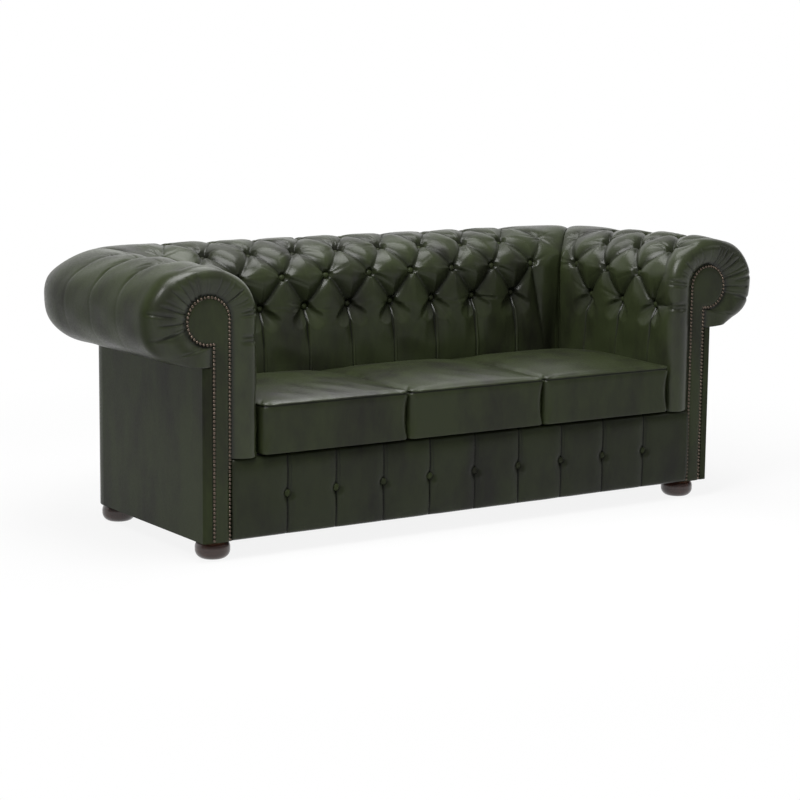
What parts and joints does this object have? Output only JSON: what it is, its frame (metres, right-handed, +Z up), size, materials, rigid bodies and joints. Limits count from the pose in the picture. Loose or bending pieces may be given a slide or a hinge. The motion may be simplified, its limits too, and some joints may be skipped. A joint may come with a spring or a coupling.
{
  "type": "sofa",
  "caption": "Long low sofa with rolled arms and back of equal height, deep-buttoned green leather, scroll facings edged with domed nails, loose seat cushions and turned bun feet",
  "frame": {"origin": "on the floor under the middle of the sofa's outline", "axes": "+X along the length, to the right as seen from the front; the front faces -Y; +Z up"},
  "size_m": [2.05, 0.871, 0.7792],
  "materials": {
    "leather": "semi-gloss antique two-tone",
    "frame_timber": "planed, unfinished",
    "foot_wood": "gloss lacquer",
    "spring_steel": "oiled wire",
    "nail_bronze": "antique bronze",
    "lining_cloth": "woven lining",
    "cushion_foam": "cut foam",
    "zip_tape": "woven tape",
    "zip_metal": "dull brass"
  },
  "bodies": {
    "sofa_body": {"arm_pad_left": "leather", "arm_pad_right": "leather", "back_pad": "leather", "front_border": "leather", "scroll_facing_left": "leather", "scroll_facing_right": "leather", "outer_arm_panel_left": "leather", "outer_arm_panel_right": "leather", "outer_back_panel": "leather", "back_buttons": "leather", "arm_buttons_left": "leather", "arm_buttons_right": "leather", "border_buttons": "leather", "front_rail": "frame_timber", "back_rail": "frame_timber", "side_rail_left": "frame_timber", "side_rail_right": "frame_timber", "seat_cross_rails": "frame_timber", "corner_blocks": "frame_timber", "arm_front_board_left": "frame_timber", "arm_front_board_right": "frame_timber", "arm_top_rail_left": "frame_timber", "arm_top_rail_right": "frame_timber", "arm_tack_rail_left": "frame_timber", "arm_tack_rail_right": "frame_timber", "arm_post_left": "frame_timber", "arm_post_right": "frame_timber", "back_corner_post_left": "frame_timber", "back_corner_post_right": "frame_timber", "back_top_rail": "frame_timber", "back_tack_rail": "frame_timber", "back_posts": "frame_timber", "foot_front_left": "foot_wood", "foot_front_right": "foot_wood", "foot_back_left": "foot_wood", "foot_back_right": "foot_wood", "seat_springs": "spring_steel", "spring_clips": "spring_steel", "foot_bolts": "spring_steel", "foot_tee_nuts": "spring_steel", "facing_nails_left": "nail_bronze", "facing_nails_right": "nail_bronze", "seat_platform": "lining_cloth", "dust_cover": "lining_cloth"},
    "cushion_left": {"cushion_cover_left": "leather", "cushion_core_left": "cushion_foam", "cushion_zip_left": "zip_tape"},
    "cushion_middle": {"cushion_cover_middle": "leather", "cushion_core_middle": "cushion_foam", "cushion_zip_middle": "zip_tape"},
    "cushion_right": {"cushion_cover_right": "leather", "cushion_core_right": "cushion_foam", "cushion_zip_right": "zip_tape"},
    "slider_left": {"zip_slider_left": "zip_metal"},
    "slider_middle": {"zip_slider_middle": "zip_metal"},
    "slider_right": {"zip_slider_right": "zip_metal"}
  },
  "joints": [
    {"name": "cushion_left_lift_out", "type": "slide", "parent": "sofa_body", "child": "cushion_left", "axis": [0, -0.9659, 0.2588], "range_m": [0, 0.5]},
    {"name": "cushion_middle_lift_out", "type": "slide", "parent": "sofa_body", "child": "cushion_middle", "axis": [0, -0.9659, 0.2588], "range_m": [0, 0.5]},
    {"name": "cushion_right_lift_out", "type": "slide", "parent": "sofa_body", "child": "cushion_right", "axis": [0, -0.9659, 0.2588], "range_m": [0, 0.5]},
    {"name": "zip_left_slide", "type": "slide", "parent": "cushion_left", "child": "slider_left", "axis": [1, 0, 0], "range_m": [0, 0.34]},
    {"name": "zip_middle_slide", "type": "slide", "parent": "cushion_middle", "child": "slider_middle", "axis": [1, 0, 0], "range_m": [0, 0.34]},
    {"name": "zip_right_slide", "type": "slide", "parent": "cushion_right", "child": "slider_right", "axis": [1, 0, 0], "range_m": [0, 0.34]}
  ]
}
